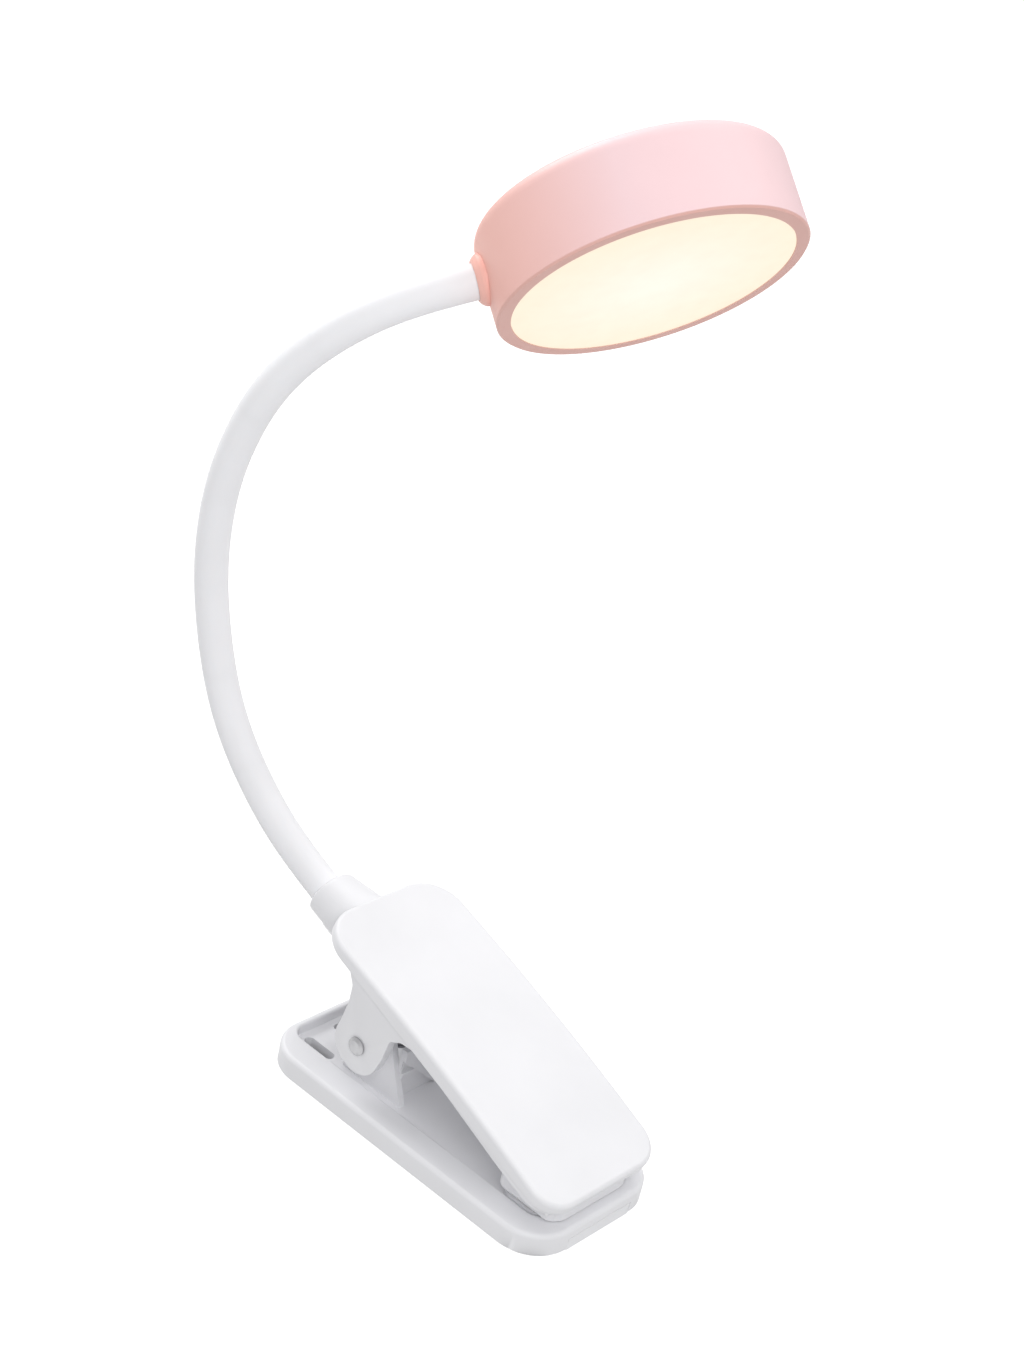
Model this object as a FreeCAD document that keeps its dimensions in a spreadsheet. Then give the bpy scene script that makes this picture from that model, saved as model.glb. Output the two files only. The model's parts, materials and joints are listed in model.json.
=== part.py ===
"""Clip on reading lamp: a sprung clip, a gooseneck in a soft sleeve and a round battery lamp head.

Millimetres, +Z up. The origin is the centre of the clip's underside, +X points to the mouth of the
jaws, and the neck rises from the other end.
"""

import FreeCAD, Part
import Sketcher
import math
import os

Vector = FreeCAD.Vector
Rotation = FreeCAD.Rotation
Placement = FreeCAD.Placement

DIMENSIONS = {
    # lower jaw
    "base_long": 110.0, "base_wide": 54.6, "base_high": 7.3, "base_corner": 13.4, "foot": 0.25,
    "foot_edge": 0.3, "base_edge": 1.5, "floor_top": 4.0, "tray_rear": -52.4,
    "tray_front": 47.0, "tray_half": 17.8, "tray_corner": 4.8, "slot_rear": -50.2,
    "slot_front": -38.8, "slot_in": 11.6, "slot_out": 15.0, "core_slot_half": 2.9,
    "web_in": 10.8, "web_thick": 2.1, "web_foot": -10.9, "boss_turn": 4.0,
    "wall_rear": -16.3, "wall_thick": 1.1, "wall_top": 21.2, "panel_thick": 2.1,
    "brace_high": 17.5, "brace_foot": 5.8, "window_low": 13.2, "ledge_low": 11.6,
    "ledge_deep": 0.8,
    # sole and jaw pads
    "sole_half": 13.5, "sole_rear": -36.0, "sole_thick": 1.2, "lip_thick": 1.0, "lip_high": 3.8,
    "pad_rear": 31.5, "pad_top": 7.5, "pad_fit": 0.3,
    # hinge
    "pin_x": -22.5, "pin_z": 23.5, "pin_rad": 2.0, "pin_head": 2.8, "pin_fit": 0.06,
    "ear_in": 20.6, "ear_out": 23.7, "head_gap": 0.15, "cap_rad": 4.0, "cap_thick": 1.1,
    # spring
    "wire_rad": 1.0, "coil_rad": 5.2, "coil_pitch": 2.3, "coil_turns": 7.255,
    "floor_leg": 26.4, "lever_leg": 16.8, "start_turn": -33.5,
    # lever
    "lever_rear": -44.7, "lever_top": 53.3, "lever_tilt": 20.2, "cover_long": 106.2,
    "cover_wide": 48.35, "cover_thick": 3.0, "cover_rise": 1.9, "cover_rear_corner": 12.3,
    "cover_front_corner": 9.3, "cover_edge": 1.3, "frame_inset": 0.8, "plate_thick": 1.8,
    "ear_reach": 8.6, "skirt_least": 0.5, "skirt_most": 2.0, "front_wall": 2.0,
    "rib_half": 1.1, "rib_place": 8.5, "rib_low": -6.3, "rib_rear": 50.0, "rib_front": 80.1,
    # upper jaw pad
    "nose_rear": 30.6, "nose_front": 51.4, "nose_low": 7.6, "nose_half": 18.2, "nose_corner": 7.0,
    "nose_high": 11.2,
    # neck socket
    "socket_out": 7.1, "socket_bore": 5.12, "socket_long": 31.0, "socket_deep": 25.0,
    "mouth_u": -14.5, "mouth_w": -16.1, "mouth_rad": 7.7, "mouth_edge": 1.3, "mouth_lift": 0.9,
    "flare_long": 14.4, "flare_rad": 9.4, "flare_rise": 2.9, "saddle_half": 6.0,
    "screw_rad": 1.25, "screw_head": 2.0,
    "screw_high": 1.0, "seat_deep": 1.15, "screw_u": 7.5, "screw_step": 6.5,
    # neck
    "link_long": 29.8, "sleeve_rad": 5.0, "core_rad": 3.5, "core_bore": 1.9, "sleeve_gap": 1.6,
    "core_gap": 1.2, "neck_tail": 16.0, "sleeve_tail": 9.0, "sleeve_nose": 2.6,
    # head
    "head_rad": 43.5, "head_high": 26.4, "head_roll": 76.9, "head_wall": 2.0, "head_edge": 4.4,
    "neck_reach": 3.4, "boss_long": 2.3, "boss_rad": 7.2, "bezel_in": 39.6, "bezel_high": 3.0,
    "lip": 1.2,
    "board_rad": 35.0, "board_thick": 1.2, "cell_long": 46.0, "cell_wide": 34.0, "cell_high": 7.0,
    "chassis_rad": 37.6, "chassis_low": -5.2, "chassis_top": -3.6,
    "button_rad": 6.0, "button_fit": 0.35, "button_travel": 0.6,
    "usb_wide": 9.0, "usb_high": 3.2, "usb_long": 7.4, "post_ring": 32.0,
    "cell_x": 4.0, "usb_low": 5.2, "foam": 0.6,
}
# how far each neck link turns up and over, and how far it turns sideways, in degrees
LINK_BENDS = (15.2, 25.3, 16.6, 14.9, 14.8, 13.7, 18.6, 5.2)
LINK_SIDES = (-5.8, 0.0, -2.9, -0.7, 3.0, 8.0, 16.9, 22.7)
for link, (bend, side) in enumerate(zip(LINK_BENDS, LINK_SIDES)):
    DIMENSIONS["bend_%d_of" % link] = bend
    DIMENSIONS["side_%d_of" % link] = side

tilt = math.radians(DIMENSIONS["lever_tilt"])
pin_back = DIMENSIONS["pin_x"] - DIMENSIONS["lever_rear"]
pin_down = DIMENSIONS["pin_z"] - DIMENSIONS["lever_top"]
# the pin, along and across the lever
DIMENSIONS["pin_u"] = pin_back * math.cos(tilt) - pin_down * math.sin(tilt)
DIMENSIONS["pin_w"] = pin_back * math.sin(tilt) + pin_down * math.cos(tilt)

doc = FreeCAD.newDocument("clip_on_reading_lamp")
sheet = doc.addObject("Spreadsheet::Sheet", "dims")
for row, (alias, value) in enumerate(DIMENSIONS.items(), start=1):
    sheet.set("A%d" % row, alias)
    sheet.set("B%d" % row, str(value))
    sheet.setAlias("B%d" % row, alias)
doc.recompute()
D = {alias: float(sheet.get(alias)) for alias in DIMENSIONS}
nodes = []


# ---------------------------------------------------------------- helpers

def bound(text):
    """An expression with every dimension's name turned into a reference to the sheet."""
    words = sorted(DIMENSIONS, key=len, reverse=True)
    out, i = "", 0
    while i < len(text):
        before = text[i - 1] if i else " "
        hit = None
        if not (before.isalnum() or before in "_."):
            hit = next((w for w in words if text.startswith(w, i)
                        and not (text[i + len(w):i + len(w) + 1] or " ").isalnum()
                        and (text[i + len(w):i + len(w) + 1] or " ") != "_"), None)
        out += "dims." + hit if hit else text[i]
        i += len(hit) if hit else 1
    return out


def bind(thing, **sizes):
    for name, text in sizes.items():
        thing.setExpression(name, bound(text))


def new_body(label, place=None):
    body = doc.addObject("PartDesign::Body", label)
    body.Label = label
    if place:
        body.Placement = place
    nodes.append(body)
    return body


def new_sketch(body, role, lift=None):
    """An empty sketch on one of the body's own origin planes, lifted along that plane's normal."""
    sketch = body.newObject("Sketcher::SketchObject", "outline")
    plane = next(f for f in body.Origin.OriginFeatures if f.Role == role)
    sketch.AttachmentSupport = [(plane, "")]
    sketch.MapMode = "FlatFace"
    if lift:
        sketch.setExpression(".AttachmentOffset.Base.z", bound(lift))
    return sketch


def outline(sketch, points):
    """A closed run of straight lines; each corner is held by two expressions, across and up."""
    count = len(points)
    ring = [Vector(math.cos(2 * math.pi * k / count), math.sin(2 * math.pi * k / count), 0)
            for k in range(count)]
    first = sketch.GeometryCount
    for k in range(count):
        sketch.addGeometry(Part.LineSegment(ring[k], ring[(k + 1) % count]), False)
    for k in range(count):
        sketch.addConstraint(
            Sketcher.Constraint("Coincident", first + k, 2, first + (k + 1) % count, 1))
    for k, (across, up) in enumerate(points):
        for kind, text, start in (("DistanceX", across, ring[k].x), ("DistanceY", up, ring[k].y)):
            n = sketch.addConstraint(Sketcher.Constraint(kind, -1, 1, first + k, 1, start))
            sketch.setExpression("Constraints[%d]" % n, bound(text))


def rectangle(low_x, low_y, high_x, high_y):
    return [(low_x, low_y), (high_x, low_y), (high_x, high_y), (low_x, high_y)]


def circle(sketch, radius, across="0", up="0"):
    n = sketch.addGeometry(Part.Circle(Vector(1, 1, 0), Vector(0, 0, 1), 2.0), False)
    c = sketch.addConstraint(Sketcher.Constraint("Radius", n, 2.0))
    sketch.setExpression("Constraints[%d]" % c, bound(radius))
    for kind, text in (("DistanceX", across), ("DistanceY", up)):
        c = sketch.addConstraint(Sketcher.Constraint(kind, -1, 1, n, 3, 1.0))
        sketch.setExpression("Constraints[%d]" % c, bound(text))


def extrude(body, kind, sketch, length, middle=False, back=False, through=False):
    feature = body.newObject("PartDesign::" + kind, kind.lower())
    feature.Profile = sketch
    if through:
        feature.Type = 1
    feature.Midplane = middle
    feature.Reversed = back
    if not through:
        bind(feature, Length=length)
    before = body.Shape.Volume if kind == "Pocket" else 0
    doc.recompute()
    if kind == "Pocket" and body.Shape.Volume > before - 1e-6:
        raise RuntimeError("%s: a pocket cut nothing" % body.Label)
    return feature


def solid_of(body, role, points, length, lift=None, **how):
    sketch = new_sketch(body, role, lift)
    outline(sketch, points)
    return extrude(body, "Pad", sketch, length, **how)


def cut_of(body, role, points, length, lift=None, **how):
    sketch = new_sketch(body, role, lift)
    outline(sketch, points)
    return extrude(body, "Pocket", sketch, length, **how)


def drill(body, role, radius, places, length=None, lift=None, **how):
    sketch = new_sketch(body, role, lift)
    for across, up in places:
        circle(sketch, radius, across, up)
    return extrude(body, "Pocket", sketch, length, **how)


def round_edges(body, radius, wanted):
    """A fillet on the edges of the body so far that the test picks."""
    doc.recompute()
    base = body.Tip
    names = ["Edge%d" % (k + 1) for k, edge in enumerate(base.Shape.Edges) if wanted(edge)]
    if not names:
        raise RuntimeError("%s: no edge to round" % body.Label)
    feature = body.newObject("PartDesign::Fillet", "fillet")
    feature.Base = (base, names)
    bind(feature, Radius=radius)
    doc.recompute()
    return feature


def upright(edge):
    """A straight edge along the local Z axis."""
    start, end = edge.Vertexes[0].Point, edge.Vertexes[-1].Point
    return abs(end.z - start.z) > 0.5 and abs(end.x - start.x) + abs(end.y - start.y) < 0.01


def crosswise(edge):
    """A long straight edge along the local Y axis."""
    box = edge.BoundBox
    return box.YLength > 40 and box.XLength + box.ZLength < 0.01


def at_height(edge, height):
    box = edge.BoundBox
    return abs(box.ZMin - height) < 0.01 and abs(box.ZMax - height) < 0.01


def turned(label, place, points, axis="V_Axis"):
    """A body turned from a profile of radius and height (V_Axis), or length and radius (H_Axis)."""
    body = new_body(label, place)
    sketch = new_sketch(body, "XZ_Plane")
    outline(sketch, points)
    feature = body.newObject("PartDesign::Revolution", "turned")
    feature.Profile = sketch
    feature.ReferenceAxis = (sketch, [axis])
    feature.Angle = 360
    doc.recompute()
    return body


def primitive(kind, place, **sizes):
    thing = doc.addObject("Part::" + kind, kind.lower())
    bind(thing, **sizes)
    thing.Placement = place
    return thing


def joined(label, pieces):
    thing = doc.addObject("Part::MultiFuse", label)
    thing.Label = label
    thing.Shapes = pieces
    nodes.append(thing)
    return thing


def group_of(label, pieces):
    thing = doc.addObject("Part::Compound", label)
    thing.Label = label
    thing.Links = pieces
    nodes.append(thing)
    return thing


# ---------------------------------------------------------------- lower jaw

def lower_jaw():
    body = new_body("lower_jaw")
    solid_of(body, "XY_Plane",
             rectangle("-base_long/2", "-base_wide/2", "base_long/2", "base_wide/2"),
             "base_high - foot", lift="foot")
    round_edges(body, "base_corner", upright)
    round_edges(body, "base_edge", lambda e: at_height(e, D["base_high"]))
    round_edges(body, "foot_edge", lambda e: at_height(e, D["foot"]))
    cut_of(body, "XY_Plane", rectangle("tray_rear", "-tray_half", "tray_front", "tray_half"),
           "base_high - floor_top", lift="base_high")
    round_edges(body, "tray_corner", lambda e: upright(e) and e.BoundBox.ZMin > D["floor_top"] - 0.1
                and abs(e.BoundBox.YMax) < D["tray_half"] + 0.1)
    round_edges(body, "base_edge * 0.6", lambda e: at_height(e, D["base_high"])
                and abs(e.BoundBox.YMax) < D["tray_half"] + 0.1
                and abs(e.BoundBox.YMin) < D["tray_half"] + 0.1)
    for inner, outer in (("slot_in", "slot_out"), ("-slot_out", "-slot_in"),
                         ("-core_slot_half", "core_slot_half")):
        cut_of(body, "XY_Plane", rectangle("slot_rear", inner, "slot_front", outer),
               "base_high", lift="floor_top")
    round_edges(body, "(slot_out - slot_in) * 0.49", lambda e: upright(e)
                and e.BoundBox.XMax < D["slot_front"] + 0.1
                and e.BoundBox.XMin > D["slot_rear"] - 0.1
                and abs(e.BoundBox.YMax) < D["slot_out"] + 0.1)
    # the sole pad's shallow bed and the notch for its lip in the front wall
    cut_of(body, "XY_Plane",
           rectangle("sole_rear", "-sole_half", "base_long/2", "sole_half"),
           "sole_thick - foot", lift="foot", back=True)
    cut_of(body, "XY_Plane",
           rectangle("base_long/2 - lip_thick", "-sole_half", "base_long/2 + 1", "sole_half"),
           "lip_high", lift="foot * 0.5", back=True)
    # two webs carry the pin
    web = [("pin_x - 13", "floor_top - 1"), ("pin_x - 7", "pin_z - 1"), ("pin_x - 4", "pin_z + 4"),
           ("pin_x + 2.4", "pin_z + 4.2"), ("pin_x + 3.3", "pin_z"), ("pin_x + 5.7", "pin_z - 7.1"),
           ("web_foot", "floor_top - 1")]
    for start in ("web_in", "-web_in - web_thick"):
        solid_of(body, "XZ_Plane", web, "web_thick", lift=start)
    # a thin cross wall ties them, with a slanted raised panel, a ledge and a three-sided window
    side = "(web_in + 0.2)"
    lean = "(%s + brace_foot) / (brace_high - floor_top + 1)" % side
    solid_of(body, "YZ_Plane",
             rectangle("-" + side, "floor_top - 1", side, "wall_top"),
             "wall_thick", lift="wall_rear")
    solid_of(body, "YZ_Plane",
             [("brace_foot", "floor_top - 1"), (side, "floor_top - 1"), (side, "wall_top"),
              ("-" + side, "wall_top"), ("-" + side, "brace_high")],
             "panel_thick", lift="wall_rear")
    solid_of(body, "YZ_Plane",
             rectangle("-" + side, "ledge_low",
                       "(brace_high - window_low) * %s - %s + 2" % (lean, side), "window_low"),
             "wall_thick + ledge_deep", lift="wall_rear")
    cut_of(body, "YZ_Plane",
           [("0.4 - web_in", "window_low"),
            ("(brace_high - window_low) * %s - web_in - 1" % lean, "window_low"),
            ("0.4 - web_in", "brace_high - 1.3")],
           "panel_thick", lift="wall_rear + wall_thick + 0.5")
    for start in ("web_in + web_thick - 0.2", "-ear_in + 0.2"):
        sketch = new_sketch(body, "XZ_Plane", start)
        circle(sketch, "boss_turn", "pin_x", "pin_z")
        extrude(body, "Pad", sketch, "ear_in - web_in - web_thick")
    drill(body, "XZ_Plane", "pin_rad", [("pin_x", "pin_z")], "base_wide", middle=True)
    return body


def lower_jaw_pad():
    body = new_body("lower_jaw_pad")
    solid_of(body, "XY_Plane",
             rectangle("pad_rear", "-tray_half + pad_fit", "tray_front - pad_fit",
                       "tray_half - pad_fit"), "pad_top - floor_top", lift="floor_top")
    round_edges(body, "tray_corner - pad_fit", upright)
    return body


def sole_pad():
    body = new_body("sole_pad")
    solid_of(body, "XY_Plane",
             rectangle("sole_rear", "-sole_half", "base_long/2", "sole_half"),
             "sole_thick")
    solid_of(body, "XY_Plane",
             rectangle("base_long/2 - lip_thick", "-sole_half", "base_long/2", "sole_half"),
             "lip_high")
    round_edges(body, "0.6", lambda e: upright(e) and e.BoundBox.XMax > D["base_long"] / 2 - 0.01
                and e.BoundBox.ZMax > 2)
    return body


# ---------------------------------------------------------------- hinge and spring

def across(x, z):
    """A placement on the hinge line: local Z runs along +Y."""
    return Placement(Vector(x, 0, z), Rotation(Vector(1, 0, 0), -90))


def hinge_pin():
    outer = "(ear_out + head_gap)"
    return turned("hinge_pin", across(D["pin_x"], D["pin_z"]),
                  [("0", "-%s - 1.0" % outer), ("pin_head - 0.9", "-%s - 1.0" % outer),
                   ("pin_head", "-%s - 0.5" % outer), ("pin_head", "-" + outer),
                   ("pin_rad", "-" + outer), ("pin_rad", outer + " + cap_thick + 0.4"),
                   ("0", outer + " + cap_thick + 0.4")])


def pin_washer():
    outer = "(ear_out + head_gap)"
    return turned("pin_washer", across(D["pin_x"], D["pin_z"]),
                  [("pin_rad", outer), ("cap_rad", outer),
                   ("cap_rad - 0.4", outer + " + cap_thick"),
                   ("pin_rad", outer + " + cap_thick")])


def torsion_spring():
    """A coil round the pin with two straight legs that push the handles apart."""
    place = across(D["pin_x"], D["pin_z"])
    half = D["coil_pitch"] * D["coil_turns"] / 2
    turn = Rotation(Vector(0, 0, 1), D["start_turn"])
    start = place.multiply(Placement(Vector(0, 0, -half), turn))
    helix = doc.addObject("Part::Helix", "coil_line")
    bind(helix, Radius="coil_rad", Pitch="coil_pitch", Height="coil_pitch * coil_turns")
    helix.Placement = start
    doc.recompute()
    edges = helix.Shape.Edges
    line = edges[0]
    slope = line.tangentAt(line.FirstParameter)
    first = line.valueAt(line.FirstParameter)
    last_edge = edges[-1]
    last = last_edge.valueAt(last_edge.LastParameter)
    slope_out = last_edge.tangentAt(last_edge.LastParameter)
    section = doc.addObject("Part::Circle", "wire_section")
    bind(section, Radius="wire_rad")
    section.Placement = Placement(first, Rotation(Vector(0, 0, 1), slope))
    coil = doc.addObject("Part::Sweep", "coil")
    coil.Sections = [section]
    coil.Spine = (helix, [])
    coil.Solid = True
    coil.Frenet = True
    legs = [primitive("Cylinder", Placement(first, Rotation(Vector(0, 0, 1), slope * -1)),
                      Radius="wire_rad", Height="lever_leg"),
            primitive("Cylinder", Placement(last, Rotation(Vector(0, 0, 1), slope_out)),
                      Radius="wire_rad", Height="floor_leg")]
    return joined("torsion_spring", [coil] + legs)


# ---------------------------------------------------------------- lever

LEVER = Placement(Vector(D["lever_rear"], 0, D["lever_top"]),
                  Rotation(Vector(0, 1, 0), D["lever_tilt"]))


def arch_cut(body):
    """Shave the top of a plate to the cover's shallow arch."""
    spare, high = 5.0, 20.0
    rise, half = D["cover_rise"], D["cover_long"] / 2
    radius = (half ** 2 + rise ** 2) / (2 * rise)
    low = rise - radius
    swing = math.acos((half + spare) / radius)
    end_up = low + radius * math.sin(swing)
    sketch = new_sketch(body, "XZ_Plane")
    arc = Part.ArcOfCircle(Part.Circle(Vector(half, low, 0), Vector(0, 0, 1), radius),
                           swing, math.pi - swing)
    sketch.addGeometry(arc, False)
    corners = [Vector(-spare, end_up, 0), Vector(-spare, high, 0),
               Vector(2 * half + spare, high, 0), Vector(2 * half + spare, end_up, 0)]
    for k in range(3):
        sketch.addGeometry(Part.LineSegment(corners[k], corners[k + 1]), False)
    for one, end, other, start in ((0, 2, 1, 1), (1, 2, 2, 1), (2, 2, 3, 1), (3, 2, 0, 1)):
        sketch.addConstraint(Sketcher.Constraint("Coincident", one, end, other, start))
    size = "((cover_long^2 / 4 + cover_rise^2) / (2 * cover_rise))"
    held = (("DistanceX", 0, 3, "cover_long / 2", half),
            ("DistanceY", 0, 3, "cover_rise - " + size, low),
            ("DistanceX", 1, 1, "-%g" % spare, -spare), ("DistanceX", 1, 2, "-%g" % spare, -spare),
            ("DistanceY", 1, 2, "%g" % high, high),
            ("DistanceX", 2, 2, "cover_long + %g" % spare, 2 * half + spare),
            ("DistanceY", 2, 2, "%g" % high, high),
            ("DistanceX", 3, 2, "cover_long + %g" % spare, 2 * half + spare))
    for kind, item, point, text, value in held:
        n = sketch.addConstraint(Sketcher.Constraint(kind, -1, 1, item, point, value))
        sketch.setExpression("Constraints[%d]" % n, bound(text))
    n = sketch.addConstraint(Sketcher.Constraint("Radius", 0, radius))
    sketch.setExpression("Constraints[%d]" % n, bound(size))
    return extrude(body, "Pocket", sketch, "cover_wide + 10", middle=True)


def lever_cover():
    body = new_body("lever_cover", LEVER)
    solid_of(body, "XZ_Plane", [("0", "-cover_thick"), ("cover_long", "-cover_thick"),
                                ("cover_long", "cover_rise + 1"), ("0", "cover_rise + 1")],
             "cover_wide", middle=True)
    round_edges(body, "cover_rear_corner", lambda e: upright(e) and e.BoundBox.XMax < 1)
    round_edges(body, "cover_front_corner", lambda e: upright(e) and e.BoundBox.XMin > 50)
    arch_cut(body)
    round_edges(body, "cover_edge", lambda e: e.BoundBox.ZMin > -0.5)
    return body


def rear_corner(side):
    """The outside of the lever's rounded rear corner, inset under the cover's, on one side."""
    inset = "(cover_rear_corner - frame_inset)"
    swing = [math.radians(22.5 * k) for k in range(5)]
    arc = [("cover_rear_corner - %s * %.4f" % (inset, math.cos(a)),
            "%s * (cover_wide / 2 - cover_rear_corner + %s * %.4f)" % (side, inset, math.sin(a)))
           for a in swing]
    far = "%s * (cover_wide / 2 + 1)" % side
    return [("-1", arc[0][1])] + arc + [("cover_rear_corner", far), ("-1", far)]


def lever_frame():
    """Two ears and two low skirts joined by a plate under the cover, with ribs below it."""
    body = new_body("lever_frame", LEVER)
    under, plate_low = "-cover_thick", "-cover_thick - plate_thick"
    front = "cover_long - 1.4"
    profile = [("frame_inset + 3", under), ("16.4", under + " - 0.4"), ("19.4", "-6.2"),
               ("21.4", "-12"), ("22.4", "-19.5"), ("pin_u - ear_reach", "pin_w - ear_reach"),
               ("pin_u + ear_reach", "pin_w - ear_reach"), ("39.6", "-16"), ("38.4", "-8.6"),
               ("41.4", "-5.2"), ("45.2", under + " - skirt_least"),
               ("58", under + " - skirt_least"), ("86.4", under + " - skirt_most"),
               (front, under + " - skirt_most"), (front, under)]
    solid_of(body, "XZ_Plane", profile, "ear_out * 2", middle=True)
    round_edges(body, "ear_reach - 0.6", lambda e: crosswise(e)
                and e.BoundBox.ZMax < D["pin_w"] - 5)
    round_edges(body, "2.0", lambda e: crosswise(e) and -15 < e.BoundBox.ZMin
                and e.BoundBox.ZMax < -4 and e.BoundBox.XMin < 43)
    round_edges(body, "cover_front_corner - 0.8",
                lambda e: upright(e) and e.BoundBox.XMin > 90 and e.BoundBox.ZLength > 1.5)
    cut_of(body, "XZ_Plane",
           [("-5", plate_low), (front + " - front_wall", plate_low),
            (front + " - front_wall", "-40"), ("-5", "-40")], "ear_in * 2", middle=True)
    solid_of(body, "XY_Plane",
             rectangle("frame_inset + 3", "-ear_in - 0.3", front + " - 1", "ear_in + 0.3"),
             "plate_thick", lift=plate_low)
    for side in ("1", "-1"):
        cut_of(body, "XY_Plane", rear_corner(side), "6", lift=under + " + 1")
    drill(body, "XZ_Plane", "pin_rad + pin_fit", [("pin_u", "pin_w")], "cover_wide + 10",
          middle=True)
    for start in ("rib_place - rib_half", "-rib_place - rib_half"):
        solid_of(body, "XZ_Plane",
                 rectangle("rib_rear", "rib_low", "rib_front", plate_low + " + 0.3"),
                 "rib_half * 2", lift=start)
    for k in range(4):
        start = "rib_rear + (rib_front - rib_rear - 1.6) * %d / 3" % k
        solid_of(body, "XZ_Plane",
                 rectangle(start, "rib_low + 0.9", start + " + 1.6", plate_low + " + 0.3"),
                 "ear_in * 2 + 0.4", middle=True)
    places = [("screw_u", "0"), ("screw_u + screw_step", "0")]
    drill(body, "XY_Plane", "screw_rad + 0.1", places, "20", lift=under + " + 1")
    drill(body, "XY_Plane", "screw_head + 0.15", places, "seat_deep + 1", lift=under + " + 1")
    return body


def on_lever(u, w):
    """A point given along and across the lever, as expressions in the part's own frame."""
    return ("lever_rear + (%s) * cos(lever_tilt) + (%s) * sin(lever_tilt)" % (u, w),
            "lever_top - (%s) * sin(lever_tilt) + (%s) * cos(lever_tilt)" % (u, w))


def upper_jaw_pad():
    """The soft nose pad: it fills the front of the channel and stands on the lower jaw."""
    body = new_body("upper_jaw_pad")
    roof = "-cover_thick - plate_thick - 0.05"
    start = "(nose_rear - lever_rear - (%s) * sin(lever_tilt)) / cos(lever_tilt)" % roof
    end = "cover_long - 1.4 - front_wall - 0.3"
    solid_of(body, "XZ_Plane",
             [("nose_rear", on_lever(start, roof)[1]), ("nose_rear", "nose_low"),
              ("nose_front", "nose_low"), ("nose_front", "nose_high"),
              on_lever(end, roof + " - 0.5"), on_lever(end, roof)],
             "nose_half * 2", middle=True)
    round_edges(body, "2.6", lambda e: upright(e) and e.BoundBox.XMax < D["nose_rear"] + 0.1)
    for side in (1, -1):
        middle = "%d * (nose_half - nose_corner)" % side
        arc = [("nose_front - nose_corner * %.4f" % (1 - math.cos(math.radians(18 * k))),
                "%s + %d * nose_corner * %.4f" % (middle, side, math.sin(math.radians(18 * k))))
               for k in range(6)]
        far = "%d * (nose_half + 1)" % side
        cut_of(body, "XY_Plane",
               [("nose_front + 1", arc[0][1])] + arc
               + [("nose_front - nose_corner", far), ("nose_front + 1", far)],
               "20", lift="nose_high + 8")
    round_edges(body, "2.4", lambda e: at_height(e, D["nose_low"])
                and e.BoundBox.XMax < D["nose_rear"] + 0.1)
    return body


# ---------------------------------------------------------------- neck socket

SOCKET = LEVER.multiply(Placement(Vector(D["mouth_u"], 0, D["mouth_w"]),
                                  Rotation(Vector(0, 1, 0), -90)))


def neck_socket():
    """The collar: a closed tube along local Z, its mouth at zero, flared up to the lever's edge."""
    body = new_body("neck_socket", SOCKET)
    rings = [("0", "mouth_rad - mouth_edge"), ("mouth_edge * 0.13", "mouth_rad - mouth_edge / 2"),
             ("mouth_edge * 0.5", "mouth_rad - mouth_edge * 0.13"), ("mouth_edge", "mouth_rad"),
             ("flare_long", "flare_rad")]
    sketches = []
    for depth, radius in rings:
        sketch = new_sketch(body, "XY_Plane", "-(%s)" % depth)
        circle(sketch, radius, "mouth_lift + flare_rise * (%s) / flare_long" % depth)
        sketches.append(sketch)
    loft = body.newObject("PartDesign::AdditiveLoft", "flare")
    loft.Profile = sketches[0]
    loft.Sections = sketches[1:]
    loft.Ruled = True
    doc.recompute()
    sketch = new_sketch(body, "XY_Plane", "-socket_long")
    circle(sketch, "socket_out")
    extrude(body, "Pad", sketch, "socket_long - flare_long / 2")
    top = "-mouth_w - cover_thick - plate_thick"
    solid_of(body, "XY_Plane",
             rectangle("socket_out - 2", "-saddle_half", top, "saddle_half"),
             "socket_long + mouth_u - 1.5", lift="-socket_long")
    drill(body, "XY_Plane", "socket_bore", [("0", "0")], "socket_deep")
    drill(body, "YZ_Plane", "screw_rad * 0.8",
          [("0", "mouth_u - screw_u"), ("0", "mouth_u - screw_u - screw_step")], "3.5",
          lift=top + " + 0.1")
    return body


def socket_screws():
    """Two screws down through the lever's plate into the saddle, heads under the cover."""
    screws = []
    for k in range(2):
        u = D["screw_u"] + k * D["screw_step"]
        seat = -D["cover_thick"] - D["seat_deep"]
        foot = LEVER.multiply(Placement(Vector(u, 0, seat - 3.4), Rotation()))
        head = LEVER.multiply(Placement(Vector(u, 0, seat), Rotation()))
        shank = primitive("Cylinder", foot, Radius="screw_rad * 0.8", Height="3.5")
        cap = primitive("Cylinder", head, Radius="screw_head", Height="screw_high")
        screw = doc.addObject("Part::Fuse", "screw")
        screw.Base, screw.Tool = shank, cap
        screws.append(screw)
    return group_of("socket_screws", screws)


# ---------------------------------------------------------------- neck

LINKS = len(LINK_BENDS)


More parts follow.
